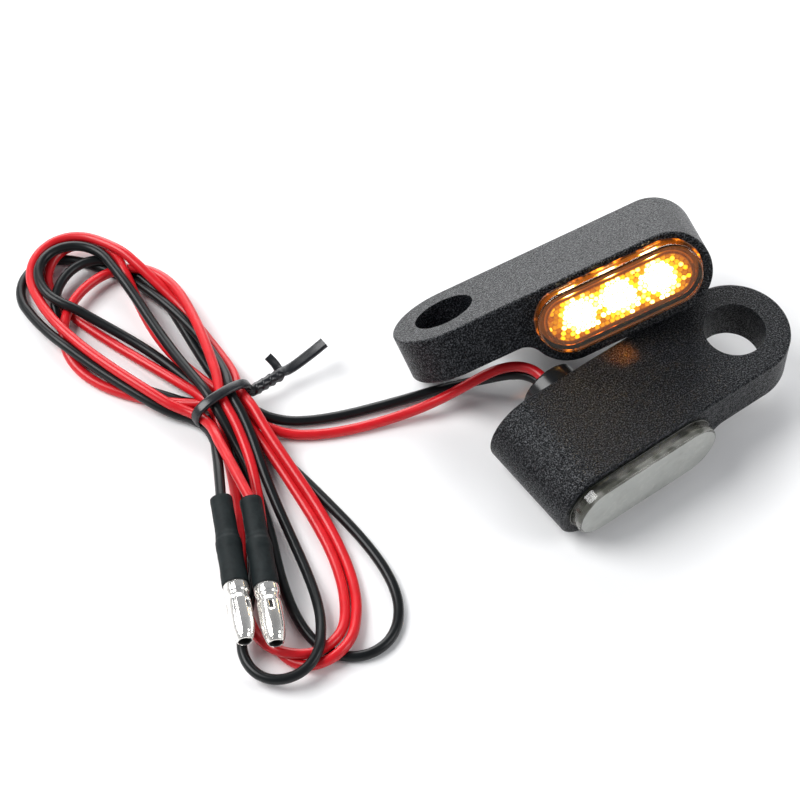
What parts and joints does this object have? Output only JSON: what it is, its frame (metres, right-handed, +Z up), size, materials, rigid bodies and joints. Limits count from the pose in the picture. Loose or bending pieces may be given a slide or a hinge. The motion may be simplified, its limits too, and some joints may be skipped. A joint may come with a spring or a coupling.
{
  "type": "turn signal indicator",
  "caption": "Pair of slim LED turn signals that clamp under the mirror stems of a motorcycle handlebar, with a two-wire lead in a tied hank and bullet plugs.",
  "frame": {"origin": "centre of the bottom of the two lamps' box, on the ground plane, without the lead", "axes": "+X along the lower lamp from its lens end to its mirror-stem hole, +Y away from the lower lamp's lens, +Z up along the lower stem hole"},
  "size_m": [0.1053, 0.1005, 0.0294],
  "materials": {
    "black_powder_coat": "fine-textured black powder coat on cast aluminium",
    "lens_clear": "clear polycarbonate, lightly smoked",
    "lens_amber_lit": "clear polycarbonate glowing amber",
    "bead_optic": "clear beaded light guide",
    "bead_optic_lit": "beaded light guide, lit amber",
    "reflector_white": "satin light-grey plastic",
    "board_green": "solder-masked circuit board",
    "led_body": "white package with yellow phosphor",
    "led_lit": "lit amber diode",
    "chip_black": "moulded chips with tinned ends",
    "tray_dark": "dark olive-black moulded plastic",
    "grommet_rubber": "smooth black rubber",
    "potting_resin": "cured black resin",
    "inner_lead_insulation": "wire insulation",
    "wire_red": "red PVC insulation",
    "wire_black": "black PVC insulation",
    "heat_shrink": "black heat-shrink tube",
    "tin_plated": "bright tin plating on brass",
    "tie_plastic": "black plastic-covered tie",
    "tie_steel": "steel wire"
  },
  "bodies": {
    "lower_lamp": {"black_bullet": "tin_plated", "black_sleeve": "heat_shrink", "black_wire_lead": "wire_black", "black_wire_tail": "wire_black", "lead_hank": "wire_red", "lower_board_chips": "chip_black", "lower_circuit_board": "board_green", "lower_grommet": "grommet_rubber", "lower_housing": "black_powder_coat", "lower_inner_leads": "inner_lead_insulation", "lower_leds": "led_body", "lower_lens": "lens_clear", "lower_light_tray": "tray_dark", "lower_optic": "bead_optic", "lower_potting": "potting_resin", "lower_reflector": "reflector_white", "red_bullet": "tin_plated", "red_sleeve": "heat_shrink", "red_wire_lead": "wire_red", "red_wire_tail": "wire_red", "tie_core": "tie_steel", "twist_tie": "tie_plastic"},
    "upper_lamp": {"upper_board_chips": "chip_black", "upper_circuit_board": "board_green", "upper_grommet": "grommet_rubber", "upper_housing": "black_powder_coat", "upper_leds": "led_lit", "upper_lens": "lens_amber_lit", "upper_light_tray": "tray_dark", "upper_optic": "bead_optic_lit", "upper_potting": "potting_resin", "upper_reflector": "reflector_white"}
  },
  "joints": [
    {"name": "upper_lift", "type": "slide", "parent": "lower_lamp", "child": "upper_lamp", "axis": [0, 0, 1], "range_m": [0, 0.06]}
  ]
}
